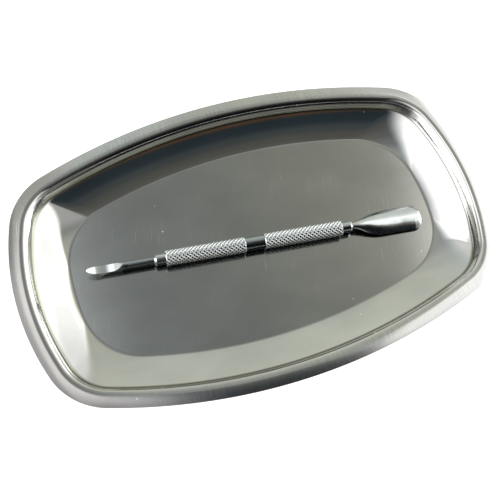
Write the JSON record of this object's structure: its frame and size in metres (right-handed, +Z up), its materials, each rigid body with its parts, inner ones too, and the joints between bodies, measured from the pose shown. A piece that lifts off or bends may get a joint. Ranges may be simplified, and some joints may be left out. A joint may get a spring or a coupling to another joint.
{
  "type": "counting tray with pusher",
  "caption": "Shallow pressed-metal tray with a bowed oblong outline, a flat floor and a flanged rim, and a loose double-ended knurled tool with a scoop and a pusher bowl.",
  "frame": {"origin": "under the middle of the tray's flat floor, at the lowest level of the part", "axes": "+X along the tray's length, towards the pusher end of the tool; +Y across the tray; +Z up"},
  "size_m": [0.19, 0.12, 0.01],
  "materials": {
    "tray_steel": "brushed floor and flange, polished wall",
    "knurled_steel": "bright diamond knurl",
    "polished_steel": "polished"
  },
  "bodies": {
    "tray": {"tray": "tray_steel"},
    "tool": {"handle_tube": "knurled_steel", "scoop_ferrule": "polished_steel", "pusher_ferrule": "polished_steel", "scoop_tip": "polished_steel", "pusher_tip": "polished_steel"}
  },
  "joints": [
    {"name": "tool_lift", "type": "slide", "parent": "tray", "child": "tool", "axis": [0, 0, 1], "range_m": [0, 0.05]}
  ]
}
